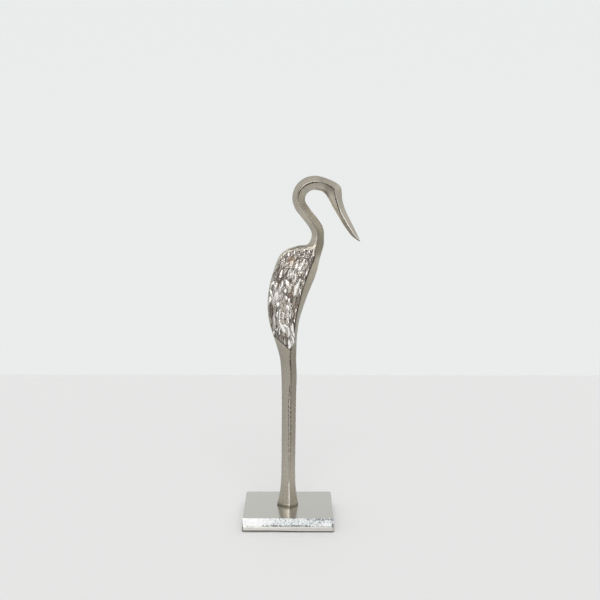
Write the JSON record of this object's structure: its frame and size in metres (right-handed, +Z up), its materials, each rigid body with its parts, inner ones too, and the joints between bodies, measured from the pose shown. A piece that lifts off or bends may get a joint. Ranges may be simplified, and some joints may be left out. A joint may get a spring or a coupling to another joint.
{
  "type": "heron figurine on a base plate",
  "caption": "Slim cast metal heron with carved wing feathers, a curved neck and a long beak, standing upright on a thick rectangular base plate.",
  "frame": {"origin": "middle of the base plate's flat underside", "axes": "+Z up along the standing bird, +X the way the beak points, +Y across the bird's thickness, away from the flank that the picture shows"},
  "size_m": [0.1628, 0.103, 0.4897],
  "materials": {
    "plate_metal": "satin, nickel finished, rough bright edge",
    "heron_metal": "satin, raw nickel finished, bright carved feathers"
  },
  "bodies": {
    "root": {"base_plate": "plate_metal", "heron": "heron_metal"}
  },
  "joints": []
}
